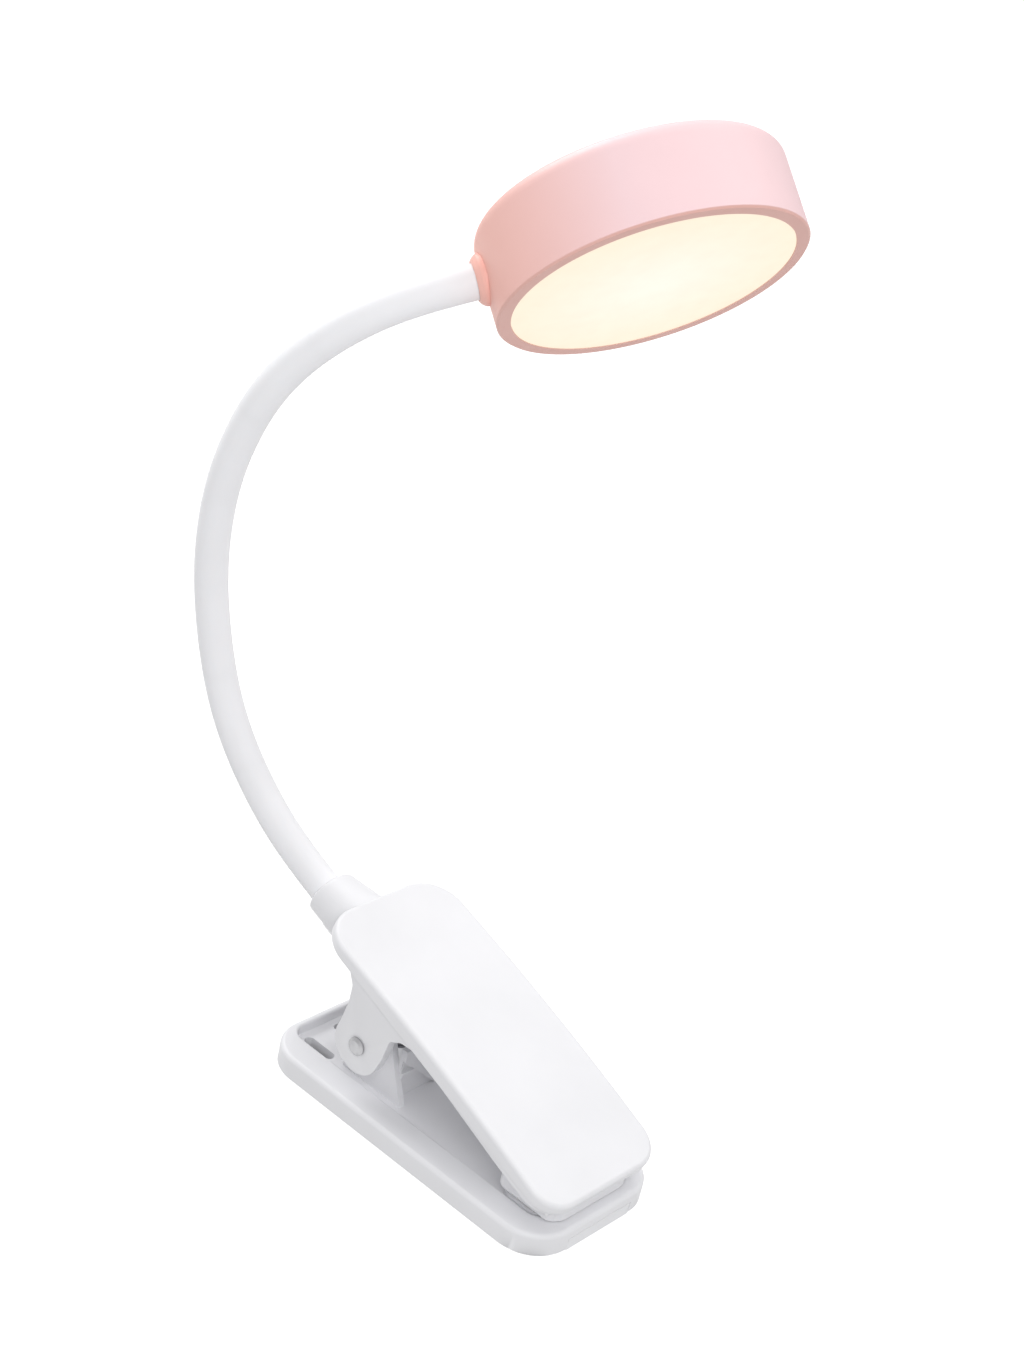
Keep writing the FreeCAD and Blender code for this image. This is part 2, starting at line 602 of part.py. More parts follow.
def neck_frames():
    """For each link its arc's centre, radius and turn; then the frame at the neck's end."""
    point = SOCKET.Base
    tangent = SOCKET.Rotation.multVec(Vector(0, 0, 1))
    bend_axis = Vector(0, 1, 0)
    arcs = []
    for k in range(LINKS):
        side_axis = tangent.cross(bend_axis)
        spin = bend_axis * D["bend_%d_of" % k] + side_axis * D["side_%d_of" % k]
        turn = spin.Length
        normal = Vector(spin).normalize()
        radius = D["link_long"] / math.radians(turn)
        inward = normal.cross(tangent)
        centre = point + inward * radius
        start = Rotation(inward * -1, tangent, normal, "XYZ")
        arcs.append({"centre": centre, "start": start, "radius": radius, "turn": turn,
                     "point": Vector(point), "tangent": Vector(tangent),
                     "bend_axis": Vector(bend_axis), "side_axis": Vector(side_axis)})
        step = Rotation(normal, turn)
        point = centre - step.multVec(inward * radius)
        tangent = step.multVec(tangent)
        bend_axis = step.multVec(bend_axis)
    return arcs, point, tangent, bend_axis


ARCS, NECK_END, END_TANGENT, END_BEND_AXIS = neck_frames()


def turn_of(k):
    return "sqrt(bend_%d_of^2 + side_%d_of^2)" % (k, k)


def bent_rod(k, radius, gap_start, gap_end):
    """A piece of torus along link k's arc, its ends cut back by the two gaps."""
    arc = ARCS[k]
    skip = D[gap_start] / D["link_long"] * arc["turn"] if gap_start else 0
    place = Placement(arc["centre"], arc["start"].multiply(Rotation(Vector(0, 0, 1), skip)))
    left = "link_long" + "".join(" - " + gap for gap in (gap_start, gap_end) if gap)
    return primitive("Torus", place, Radius1="link_long * 180 / (pi * %s)" % turn_of(k),
                     Radius2=radius, Angle3="%s * (%s) / link_long" % (turn_of(k), left))


def straight_rod(point, direction, radius, length):
    return primitive("Cylinder", Placement(point, Rotation(Vector(0, 0, 1), direction)),
                     Radius=radius, Height=length)


def fused(one, other):
    thing = doc.addObject("Part::Fuse", "fuse")
    thing.Base, thing.Tool = one, other
    return thing


def neck_tube(label, k, outer, inner, gap, tail, nose):
    """A tube along link k, cut back at each joint; the end links run on into their mounts."""
    first, last = k == 0, k == LINKS - 1
    rods = []
    for radius in (outer, inner):
        rod = bent_rod(k, radius, None if first else gap, None if last else gap)
        if first:
            start = ARCS[0]
            rod = fused(rod, straight_rod(start["point"], start["tangent"] * -1, radius, tail))
        if last:
            rod = fused(rod, straight_rod(NECK_END, END_TANGENT, radius, nose))
        rods.append(rod)
    tube = doc.addObject("Part::Cut", "tube")
    tube.Base, tube.Tool = rods
    tube.Label = label
    nodes.append(tube)
    return tube


def neck_link(k):
    """One link: a wound steel core tube and the soft sleeve over it."""
    neck_tube("neck_core_%d" % k, k, "core_rad", "core_bore", "core_gap", "neck_tail",
              "neck_reach + 5.4")
    neck_tube("neck_sleeve_%d" % k, k, "sleeve_rad", "core_rad", "sleeve_gap", "sleeve_tail",
              "sleeve_nose")


def neck_ferrule():
    """The crimped ring that holds the core's foot inside the socket."""
    place = SOCKET.multiply(Placement(Vector(0, 0, -D["neck_tail"]), Rotation()))
    return turned("neck_ferrule", place,
                  [("core_rad", "0"), ("socket_bore - 0.1", "0"), ("socket_bore - 0.1", "6"),
                   ("core_rad", "6")])


# ---------------------------------------------------------------- head

def head_place():
    """Local Z points to the closed top, local X from the neck to the drum's far side."""
    side_axis = END_TANGENT.cross(END_BEND_AXIS)
    roll = math.radians(D["head_roll"])
    up = END_BEND_AXIS * math.cos(roll) + side_axis * math.sin(roll)
    centre = NECK_END + END_TANGENT * (D["head_rad"] + D["neck_reach"])
    return Placement(centre, Rotation(END_TANGENT, up.cross(END_TANGENT), up, "XYZ"))


HEAD = head_place()
SHELL_LOW = "(-head_high / 2)"
SHELL_TOP = "(head_high / 2)"
POST_TURNS = (0, 120, 240)


def in_head(x, y, z, turn=None):
    return HEAD.multiply(Placement(Vector(x, y, z), turn or Rotation()))


def head_shell():
    body = turned("head_shell", HEAD,
                  [("0", SHELL_TOP), ("0", SHELL_TOP + " - head_wall"),
                   ("head_rad - head_wall", SHELL_TOP + " - head_wall"),
                   ("head_rad - head_wall", SHELL_LOW + " + bezel_high"),
                   ("head_rad", SHELL_LOW + " + bezel_high"), ("head_rad", SHELL_TOP)])
    round_edges(body, "head_edge", lambda e: at_height(e, D["head_high"] / 2)
                and e.BoundBox.XLength > D["head_rad"])
    drill(body, "YZ_Plane", "core_rad + 0.05", [("0", "0")], "10", lift="-head_rad + 4")
    drill(body, "XY_Plane", "button_rad + button_fit", [("0", "0")], "10",
          lift="head_high / 2 + 3")
    cut_of(body, "XZ_Plane",
           rectangle("-usb_wide / 2 - 0.3", "usb_low - 0.3", "usb_wide / 2 + 0.3",
                     "usb_low + usb_high + 0.3"), "8", lift="-head_rad + 5")
    for turn in POST_TURNS:
        place = ("post_ring * cos(%d)" % turn, "post_ring * sin(%d)" % turn)
        sketch = new_sketch(body, "XY_Plane", "chassis_top")
        circle(sketch, "3.0", *place)
        extrude(body, "Pad", sketch, "head_high / 2 - head_wall - chassis_top + 0.5")
        sketch = new_sketch(body, "XY_Plane", "chassis_top")
        circle(sketch, "screw_rad * 0.8", *place)
        extrude(body, "Pocket", sketch, "6", back=True)
    return body


def head_rings():
    """The ringed pieces on the lit side: bezel, diffuser, light ring, LED board and chassis."""
    low = SHELL_LOW
    turned("bezel_ring", HEAD,
           [("bezel_in", low), ("head_rad - 0.6", low), ("head_rad", low + " + 0.6"),
            ("head_rad", low + " + bezel_high"), ("head_rad - head_wall", low + " + bezel_high"),
            ("bezel_in + 1.3", low + " + bezel_high"), ("bezel_in + 1.3", low + " + lip"),
            ("bezel_in", low + " + lip")])
    turned("diffuser", HEAD,
           [("0", low + " + 0.15"), ("bezel_in - 0.15", low + " + 0.15"),
            ("bezel_in - 0.15", low + " + lip"), ("bezel_in + 1.2", low + " + lip"),
            ("bezel_in + 1.2", low + " + bezel_high"), ("0", low + " + bezel_high")])
    turned("reflector_ring", HEAD,
           [("board_rad + 0.2", low + " + bezel_high"), ("chassis_rad", low + " + bezel_high"),
            ("chassis_rad", "chassis_low"), ("board_rad + 0.2", "chassis_low")])
    turned("led_board", HEAD,
           [("0", "chassis_low - 1.2"), ("board_rad", "chassis_low - 1.2"),
            ("board_rad", "chassis_low"), ("0", "chassis_low")])


def led_chips():
    """Twenty-four chips in two rings on the lit side of their board."""
    chips = []
    for count, ring in ((16, 27.0), (8, 14.0)):
        for k in range(count):
            turn = Rotation(Vector(0, 0, 1), 360.0 * k / count)
            corner = turn.multVec(Vector(ring - 1.75, -1.4, 0))
            corner.z = D["chassis_low"] - 1.2 - 0.8
            chips.append(primitive("Box", HEAD.multiply(Placement(corner, turn)),
                                   Length="3.5", Width="2.8", Height="0.8"))
    return group_of("led_chips", chips)


def chassis():
    """The carrier plate that the posts hold."""
    body = new_body("chassis", HEAD)
    sketch = new_sketch(body, "XY_Plane", "chassis_low")
    circle(sketch, "chassis_rad")
    extrude(body, "Pad", sketch, "chassis_top - chassis_low")
    places = [("post_ring * cos(%d)" % turn, "post_ring * sin(%d)" % turn)
              for turn in POST_TURNS]
    drill(body, "XY_Plane", "screw_rad", places, "5", lift="chassis_top + 1")
    return body


def chassis_screws():
    screws = []
    for turn in POST_TURNS:
        angle = math.radians(turn)
        x, y = D["post_ring"] * math.cos(angle), D["post_ring"] * math.sin(angle)
        shank = primitive("Cylinder", in_head(x, y, D["chassis_low"]), Radius="screw_rad * 0.8",
                          Height="6.0")
        screws.append(shank)
    return group_of("chassis_screws", screws)


def neck_boss():
    """The domed collar where the neck enters the drum's wall."""
    inner = "head_rad - 0.6"
    body = turned("neck_boss", HEAD,
                  [("-head_rad - boss_long", "sleeve_rad + 0.1"),
                   ("-head_rad - boss_long", "sleeve_rad + 0.7"),
                   ("-head_rad - boss_long + 0.5", "boss_rad - 0.9"),
                   ("-head_rad - boss_long + 1.4", "boss_rad - 0.2"),
                   ("-head_rad - 0.2", "boss_rad"), ("-" + inner + " + 1.6", "boss_rad"),
                   ("-" + inner + " + 1.6", "core_rad + 0.05"),
                   ("-head_rad - 0.7", "core_rad + 0.05"),
                   ("-head_rad - 0.7", "sleeve_rad + 0.1")], axis="H_Axis")
    drum = body.newObject("PartDesign::SubtractiveCylinder", "drum")
    plane = next(f for f in body.Origin.OriginFeatures if f.Role == "XY_Plane")
    drum.AttachmentSupport = [(plane, "")]
    drum.MapMode = "FlatFace"
    drum.setExpression(".AttachmentOffset.Base.z", bound("-head_high"))
    bind(drum, Radius="head_rad", Height="head_high * 2")
    doc.recompute()
    return body


def boss_nut():
    return turned("boss_nut", HEAD,
                  [("-head_rad + 2.8", "core_rad + 0.05"), ("-head_rad + 2.8", "7.5"),
                   ("-head_rad + 5.2", "7.5"), ("-head_rad + 5.2", "core_rad + 0.05")],
                  axis="H_Axis")


def head_box(label, low, high):
    """A plain rectangular piece in the head; each corner is three expressions."""
    body = new_body(label, HEAD)
    solid_of(body, "XY_Plane", rectangle(low[0], low[1], high[0], high[1]),
             "(%s) - (%s)" % (high[2], low[2]), lift=low[2])
    return body


def head_inside():
    """Battery, its foam, the control board with its socket and switch."""
    cell_low = ("cell_x - cell_long / 2", "-cell_wide / 2", "chassis_top + foam")
    cell_high = ("cell_x + cell_long / 2", "cell_wide / 2", "chassis_top + foam + cell_high")
    head_box("battery_pad", cell_low[:2] + ("chassis_top",), cell_high[:2] + (cell_low[2],))
    cell = head_box("battery_cell", cell_low, cell_high)
    round_edges(cell, "1.5", upright)
    board_top = "usb_low"
    head_box("control_board", ("-13", "-12", board_top + " - board_thick"), ("13", "37", board_top))
    usb = head_box("usb_socket", ("-usb_wide / 2", "head_rad - 0.5 - usb_long", board_top),
                   ("usb_wide / 2", "head_rad - 0.5", board_top + " + usb_high"))
    round_edges(usb, "usb_high * 0.45", lambda e: e.BoundBox.YLength > 7)
    cut_of(usb, "XZ_Plane",
           rectangle("-usb_wide / 2 + 0.5", board_top + " + 0.5", "usb_wide / 2 - 0.5",
                     board_top + " + usb_high - 0.5"), "6", lift="-head_rad + 0.4", back=True)
    solid_of(usb, "XZ_Plane",
             rectangle("-usb_wide / 2 + 1.6", board_top + " + 1.25", "usb_wide / 2 - 1.6",
                       board_top + " + 1.95"), "5.2", lift="-head_rad + 1.2")
    head_box("tact_switch", ("-3", "-3", board_top), ("3", "3", board_top + " + 3.2"))


def power_button():
    stem = "(usb_low + 3.2 + button_travel + 0.05)"
    under = SHELL_TOP + " - head_wall - 0.1"
    return turned("power_button", HEAD,
                  [("0", stem), ("1.6", stem), ("1.6", under + " - 0.8"),
                   ("button_rad + 1.2", under + " - 0.8"), ("button_rad + 1.2", under),
                   ("button_rad", under), ("button_rad", SHELL_TOP + " + 0.1"),
                   ("button_rad - 0.5", SHELL_TOP + " + 0.4"), ("0", SHELL_TOP + " + 0.1")])


# ---------------------------------------------------------------- build and write

lower_jaw()
lower_jaw_pad()
sole_pad()
hinge_pin()
pin_washer()
torsion_spring()
lever_frame()
lever_cover()
upper_jaw_pad()
neck_socket()
socket_screws()
neck_ferrule()
for link in range(LINKS):
    neck_link(link)
neck_boss()
boss_nut()
head_shell()
head_rings()
led_chips()
chassis()
chassis_screws()
head_inside()
power_button()

doc.recompute()
faults = ["%s: %s" % (thing.Label, thing.State) for thing in doc.Objects
          if "Invalid" in thing.State or "Error" in thing.State]
faults += ["%s: no valid shape" % node.Label for node in nodes
           if node.Shape.isNull() or not node.Shape.isValid() or not node.Shape.Solids]
if faults:
    raise RuntimeError("; ".join(faults))
os.makedirs("parts", exist_ok=True)
for node in nodes:
    node.Shape.exportStep("parts/%s.step" % node.Label)
    box = node.Shape.BoundBox
    print("%-18s %d solids %9.1f mm3  x %.1f..%.1f y %.1f..%.1f z %.1f..%.1f" % (
        node.Label, len(node.Shape.Solids), node.Shape.Volume,
        box.XMin, box.XMax, box.YMin, box.YMax, box.ZMin, box.ZMax))
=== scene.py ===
import json
import math

import bmesh
import bpy
from mathutils import Matrix, Vector


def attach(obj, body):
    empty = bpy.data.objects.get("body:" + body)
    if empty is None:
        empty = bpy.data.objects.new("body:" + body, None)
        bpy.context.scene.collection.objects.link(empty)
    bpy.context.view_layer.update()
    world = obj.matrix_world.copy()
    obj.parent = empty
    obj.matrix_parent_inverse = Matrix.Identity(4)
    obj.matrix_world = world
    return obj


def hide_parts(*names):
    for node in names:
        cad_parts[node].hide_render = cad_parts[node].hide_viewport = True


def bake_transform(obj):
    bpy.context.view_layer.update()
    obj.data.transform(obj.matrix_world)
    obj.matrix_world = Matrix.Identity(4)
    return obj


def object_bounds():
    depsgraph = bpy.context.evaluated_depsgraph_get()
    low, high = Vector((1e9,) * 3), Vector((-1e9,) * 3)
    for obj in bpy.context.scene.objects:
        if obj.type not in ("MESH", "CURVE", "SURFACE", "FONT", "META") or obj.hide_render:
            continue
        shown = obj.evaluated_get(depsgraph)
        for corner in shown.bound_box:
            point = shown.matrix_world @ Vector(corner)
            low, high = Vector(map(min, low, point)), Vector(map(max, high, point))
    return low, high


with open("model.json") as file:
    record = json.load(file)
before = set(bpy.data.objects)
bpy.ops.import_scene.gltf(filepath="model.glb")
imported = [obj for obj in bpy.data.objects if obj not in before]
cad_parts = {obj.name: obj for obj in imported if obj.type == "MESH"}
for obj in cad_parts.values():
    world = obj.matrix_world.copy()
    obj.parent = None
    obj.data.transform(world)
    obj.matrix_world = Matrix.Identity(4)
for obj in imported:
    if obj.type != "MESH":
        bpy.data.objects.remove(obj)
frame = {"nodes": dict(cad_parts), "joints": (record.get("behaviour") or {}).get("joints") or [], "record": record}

CAD_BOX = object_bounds()
MM = 0.001
NODES = frame["nodes"]
JOINTS = {j["name"]: j for j in frame["joints"]}


# ---------------------------------------------------------------- geometry helpers

def placed(name, mesh):
    """An object of the scene that shows a mesh."""
    thing = bpy.data.objects.new(name, mesh)
    bpy.context.scene.collection.objects.link(thing)
    return thing


def new_object(name, bm):
    """A smoothly shaded object made from a bmesh, which is used up."""
    bmesh.ops.recalc_face_normals(bm, faces=bm.faces)
    mesh = bpy.data.meshes.new(name)
    bm.to_mesh(mesh)
    bm.free()
    shade_smooth(mesh)
    return placed(name, mesh)


def shade_smooth(mesh):
    mesh.polygons.foreach_set("use_smooth", [True] * len(mesh.polygons))


def vertices_of(node):
    """The corners of a CAD node's mesh, in the object's frame."""
    return [v.co.copy() for v in NODES[node].data.vertices]


def span_along(points, direction):
    """The least and greatest distance of some points along a direction."""
    along = [p.dot(direction) for p in points]
    return min(along), max(along)


# ---------------------------------------------------------------- places read from the frame

# the lever slopes down from the neck to its nose
LEVER_TILT = math.radians(20.2)
ALONG = Vector((math.cos(LEVER_TILT), 0, -math.sin(LEVER_TILT)))
LIFT = Vector((math.sin(LEVER_TILT), 0, math.cos(LEVER_TILT)))

HEAD_UP = Vector(JOINTS["button_press"]["axis"]).normalized()
RIM = vertices_of("bezel_ring")
SHELL = vertices_of("head_shell") + RIM
BOSS = vertices_of("neck_boss")


def drum_centre():
    """The middle of the lamp head, halfway between its closed and its lit side."""
    side = HEAD_UP.orthogonal().normalized()
    centre = Vector()
    for axis, points in ((side, RIM), (HEAD_UP.cross(side), RIM), (HEAD_UP, SHELL)):
        centre += axis * sum(span_along(points, axis)) / 2
    return centre


def away_from_neck():
    """The direction across the drum from the neck's boss outwards."""
    outward = DRUM - sum(BOSS, Vector()) / len(BOSS)
    return (outward - HEAD_UP * outward.dot(HEAD_UP)).normalized()


DRUM = drum_centre()
OUTWARD = away_from_neck()
HALF_HIGH = -span_along(SHELL, HEAD_UP)[0] + DRUM.dot(HEAD_UP)
BOSS_REACH = span_along(BOSS, OUTWARD * -1)[1] + DRUM.dot(OUTWARD)
RIM_RADIUS = span_along(RIM, OUTWARD)[1] - DRUM.dot(OUTWARD)


# ---------------------------------------------------------------- materials

def colour(red, green, blue):
    """A linear colour from display values of 0 to 255."""
    def linear(value):
        value /= 255.0
        return value / 12.92 if value <= 0.04045 else ((value + 0.055) / 1.055) ** 2.4
    return (linear(red), linear(green), linear(blue), 1.0)


def shifted(base, factor):
    """A colour made lighter or darker."""
    return tuple(min(1.0, part * factor) for part in base[:3]) + (1.0,)


class Nodes:
    """A short way to build a node material round one Principled shader."""

    def __init__(self, name):
        self.material = bpy.data.materials.new(name)
        self.material.use_nodes = True
        self.tree = self.material.node_tree
        self.shader = self.tree.nodes["Principled BSDF"]
        self.place = self.tree.nodes.new("ShaderNodeTexCoord").outputs["Object"]

    def add(self, kind, **settings):
        node = self.tree.nodes.new("ShaderNode" + kind)
        for key, value in settings.items():
            setattr(node, key, value)
        return node

    def noise(self, scale, detail=4.0, rough=0.55):
        node = self.add("TexNoise")
        node.inputs["Scale"].default_value = scale
        node.inputs["Detail"].default_value = detail
        node.inputs["Roughness"].default_value = rough
        self.tree.links.new(self.place, node.inputs["Vector"])
        return node.outputs["Fac"]

    def ramp(self, source, low, high, start=0.3, end=0.7):
        """Turns a 0 to 1 value into a colour or a grey between two ends."""
        node = self.add("ValToRGB")
        node.color_ramp.elements[0].position = start
        node.color_ramp.elements[1].position = end
        for element, value in zip(node.color_ramp.elements, (low, high)):
            element.color = value if hasattr(value, "__len__") else (value, value, value, 1)
        self.tree.links.new(source, node.inputs["Fac"])
        return node.outputs["Color"]

    def number(self, operation, source, constant):
        """One step of arithmetic on a value and a constant."""
        node = self.add("Math", operation=operation)
        self.tree.links.new(source, node.inputs[0])
        node.inputs[1].default_value = constant
        return node.outputs["Value"]

    def vector(self, operation, source, constant=(0, 0, 0), output="Vector"):
        """One step of arithmetic on a vector and a constant."""
        node = self.add("VectorMath", operation=operation)
        self.tree.links.new(source, node.inputs[0])
        node.inputs[1].default_value = constant
        return node.outputs[output]

    def height_along(self, axis, foot, length):
        """How far the surface lies along an axis: 0 at foot and 1 a length further on."""
        along = self.vector("DOT_PRODUCT", self.place, axis / length, "Value")
        return self.number("ADD", along, -foot / length)

    def mix(self, factor, one, two, blend_type="MIX"):
        """Mixes two colours; each input is a socket or a constant."""
        node = self.add("Mix", data_type="RGBA", blend_type=blend_type)
        for socket, value in zip((node.inputs[0], node.inputs[6], node.inputs[7]), (factor, one, two)):
            if isinstance(value, bpy.types.NodeSocket):
                self.tree.links.new(value, socket)
            else:
                socket.default_value = value
        return node.outputs[2]

    def bump(self, source, depth, strength, after=None):
        """Raises the surface by up to a depth, on top of an earlier bump if one is given."""
        node = self.add("Bump")
        node.inputs["Strength"].default_value = strength
        node.inputs["Distance"].default_value = depth
        self.tree.links.new(source, node.inputs["Height"])
        if after:
            self.tree.links.new(after, node.inputs["Normal"])
        self.feed("Normal", node.outputs["Normal"])
        return node.outputs["Normal"]

    def feed(self, socket, source):
        self.tree.links.new(source, self.shader.inputs[socket])

    def settle(self, **values):
        for key, value in values.items():
            self.shader.inputs[key.replace("_", " ")].default_value = value


CLOUD_SCALE = 38.0


def spark_grain(m, rough_low, rough_high):
    """The surface of a moulding: a fine spark-eroded grain, faint sink marks and uneven gloss."""
    m.feed("Roughness", m.ramp(m.noise(140.0, 5.0), rough_low, rough_high))
    grain = m.bump(m.noise(3600.0, 2.0, 0.6), 0.01 * MM, 0.35)
    m.bump(m.noise(55.0, 2.0), 0.03 * MM, 0.25, after=grain)


def moulded(name, base):
    """White moulded plastic with faint flow clouding."""
    m = Nodes(name)
    m.feed("Base Color", m.ramp(m.noise(CLOUD_SCALE, 3.0), shifted(base, 0.98), shifted(base, 1.02)))
    spark_grain(m, 0.37, 0.48)
    m.settle(Specular_IOR_Level=0.45)
    return m.material


# painted shade: the drum's pink is darker and warmer on the neck's side, lighter on the far side
SHADED_SIDE_PINK, LIT_SIDE_PINK = colour(243, 187, 175), colour(244, 212, 215)
# painted shade: a darker, warmer pink for the rim's band beside the lamp's lit face
RIM_SHADE_PINK = colour(228, 178, 168)


def drum_pink(name, rim=False):
    """The drum's pink ABS with painted shade, darker and warmer towards the neck; on a rim, a painted shade band
    darker still beside the lamp's lit face.
    """
    m = Nodes(name)
    across = m.height_along(OUTWARD, DRUM.dot(OUTWARD) - RIM_RADIUS, 2 * RIM_RADIUS)
    # painted shade across the drum, darkest at the neck's side
    shaded_pink = m.ramp(across, SHADED_SIDE_PINK, LIT_SIDE_PINK, 0.0, 0.4)
    if rim:
        # painted shade band on the rim, under a millimetre from the lamp's lit face
        above_face = m.height_along(HEAD_UP, DRUM.dot(HEAD_UP) - HALF_HIGH, 2 * MM)
        shaded_pink = m.mix(m.ramp(above_face, 0.0, 1.0, 0.2, 0.35), RIM_SHADE_PINK, shaded_pink)
    cloud = m.ramp(m.noise(CLOUD_SCALE, 3.0), 0.97, 1.0)
    m.feed("Base Color", m.mix(1.0, shaded_pink, cloud, "MULTIPLY"))
    spark_grain(m, 0.42, 0.54)
    m.settle(Specular_IOR_Level=0.35)
    return m.material


def silicone(name, base):
    """Soft silicone: a dusty sheen over a smooth skin, with very faint extrusion streaks."""
    m = Nodes(name)
    m.feed("Base Color", m.ramp(m.noise(60.0), shifted(base, 0.985), shifted(base, 1.01)))
    m.feed("Roughness", m.ramp(m.noise(220.0), 0.5, 0.6))
    fine = m.bump(m.noise(5200.0, 2.0), 0.006 * MM, 0.4)
    m.bump(m.noise(90.0, 2.0), 0.04 * MM, 0.2, after=fine)
    m.settle(Sheen_Weight=0.15, Sheen_Roughness=0.5, Specular_IOR_Level=0.4,
             Subsurface_Weight=0.15, Subsurface_Scale=2 * MM, Subsurface_Radius=(1.0, 0.9, 0.85))
    return m.material


def metal(name, base, rough=0.28):
    """Plated steel with fine turning marks and small dull patches."""
    m = Nodes(name)
    m.feed("Base Color", m.ramp(m.noise(300.0, 5.0), shifted(base, 0.94), shifted(base, 1.04)))
    m.feed("Roughness", m.ramp(m.noise(900.0, 6.0), rough - 0.06, rough + 0.1))
    m.bump(m.noise(2100.0, 6.0, 0.7), 0.003 * MM, 0.3)
    m.settle(Metallic=1.0)
    return m.material


def plain_part(name, base, rough=0.5, grain=1500.0, metallic=0.0):
    """An inner part: a speckled colour, uneven gloss and a grain of its own scale."""
    m = Nodes(name)
    m.feed("Base Color", m.ramp(m.noise(grain / 6, 5.0), shifted(base, 0.94), shifted(base, 1.06)))
    m.feed("Roughness", m.ramp(m.noise(grain / 3), rough - 0.08, rough + 0.08))
    m.bump(m.noise(grain * 2, 3.0), 0.02 * MM, 0.3)
    m.settle(Metallic=metallic)
    return m.material


def lit_diffuser(name):
    """Opal acrylic lit from behind: brightest in the middle and warmer towards its rim."""
    m = Nodes(name)
    from_centre = m.vector("DISTANCE", m.place, DRUM - HEAD_UP * HALF_HIGH, "Value")
    share = m.number("DIVIDE", from_centre, RIM_RADIUS)
    glow = m.ramp(share, colour(255, 248, 232), colour(255, 239, 213), 0.1, 0.95)
    cloud = m.ramp(m.noise(45.0, 3.0), 0.985, 1.0)
    m.feed("Base Color", m.ramp(share, (0.07, 0.068, 0.06, 1), (0.07, 0.064, 0.05, 1)))
    m.feed("Emission Color", m.mix(1.0, glow, cloud, "MULTIPLY"))
    m.feed("Roughness", m.ramp(m.noise(160.0), 0.32, 0.42))
    m.bump(m.noise(2400.0, 2.0), 0.01 * MM, 0.3)
    m.settle(Emission_Strength=0.87, Specular_IOR_Level=0.25)
    return m.material


def finishes_by_slot():
    """One material for each material slot of the record."""
    return {
        "white_plastic": moulded("white_abs", colour(231, 231, 234)),
        "soft_pad": silicone("white_pad", colour(236, 236, 239)),
        "pin_steel": metal("plated_steel", colour(184, 184, 186), 0.5),
        "spring_steel": metal("spring_wire", colour(140, 140, 144), 0.35),
        "neck_steel": metal("wound_steel", colour(150, 150, 154), 0.4),
        "neck_silicone": silicone("neck_sleeve", colour(240, 240, 243)),
        "pink_plastic": drum_pink("pink_abs"),
        "pink_rim": drum_pink("pink_rim", rim=True),
        "diffuser": lit_diffuser("opal_lit"),
        "inner_plastic": plain_part("inner_white", colour(232, 232, 228)),
        "led_aluminium": plain_part("led_mask", colour(236, 236, 234), 0.4),
        "led_phosphor": plain_part("phosphor", colour(250, 220, 120), 0.3),
        "battery_foil": plain_part("foil", colour(170, 172, 178), 0.35, 500.0, 0.9),
        "foam": plain_part("closed_foam", colour(60, 60, 62), 0.9, 3000.0),
        "board_green": plain_part("solder_mask", colour(24, 96, 52), 0.35),
        "connector_steel": metal("nickel", colour(190, 190, 190)),
        "switch_black": plain_part("switch_body", colour(30, 30, 32)),
        "button_white": moulded("button_abs", colour(240, 238, 238)),
    }


def dress(finishes):
    """Gives every CAD node the material of its slot."""
    for part in frame["record"]["subparts"]:
        materials = NODES[part["node"]].data.materials
        materials.clear()
        materials.append(finishes[part["material_slot"]])


# ---------------------------------------------------------------- neck

NECK_RADIUS = 5.0 * MM
NECK_AROUND = 64
STEPS_PER_LINK = 24
INSIDE_SOCKET = (4.0 * MM, 2.0 * MM)
INSIDE_BOSS = (0.7 * MM, 1.3 * MM)


def mouth_point():
    """The middle of the neck where it leaves the socket's mouth."""
    mouth = span_along(vertices_of("neck_socket"), ALONG * -1)[1]
    tail = vertices_of("neck_sleeve_0")
    end = span_along(tail, ALONG)[1]
    low, high = span_along([p for p in tail if p.dot(ALONG) > end - 0.02 * MM], LIFT)
    return ALONG * -mouth + LIFT * (low + high) / 2


def curve_point(a, b, leave, arrive, t):
    """A point between a and b on a smooth curve with a given slope at each."""
    return (a * (2 * t ** 3 - 3 * t ** 2 + 1) + leave * (t ** 3 - 2 * t ** 2 + t)
            + b * (3 * t ** 2 - 2 * t ** 3) + arrive * (t ** 3 - t ** 2))


def neck_line(joints):
    """Points close together down the middle of the neck, as many between each two knots."""
    knots = [mouth_point()] + [Vector(j["pos_m"]) for j in joints]
    knots.append(DRUM - OUTWARD * BOSS_REACH)
    slopes = [ALONG * -1]
    slopes += [(c - a).normalized() for a, c in zip(knots, knots[2:])]
    slopes.append(OUTWARD)
    points = []
    for k in range(len(knots) - 1):
        a, b = knots[k], knots[k + 1]
        size = (b - a).length
        for i in range(STEPS_PER_LINK):
            points.append(curve_point(a, b, slopes[k] * size, slopes[k + 1] * size,
                                      i / STEPS_PER_LINK))
    points.append(knots[-1])
    return points


def neck_rings(line):
    """A circle of points round each point of a line, with no twist from one to the next."""
    last = len(line) - 1
    slopes = [(line[min(k + 1, last)] - line[max(k - 1, 0)]).normalized()
              for k in range(len(line))]
    side = slopes[0].cross(Vector((0, 1, 0))).normalized()
    rings = []
    for centre, slope in zip(line, slopes):
        side = (side - slope * side.dot(slope)).normalized()
        across = slope.cross(side)
        turns = [2 * math.pi * n / NECK_AROUND for n in range(NECK_AROUND)]
        rings.append([centre + (side * math.cos(turn) + across * math.sin(turn)) * NECK_RADIUS
                      for turn in turns])
    return rings


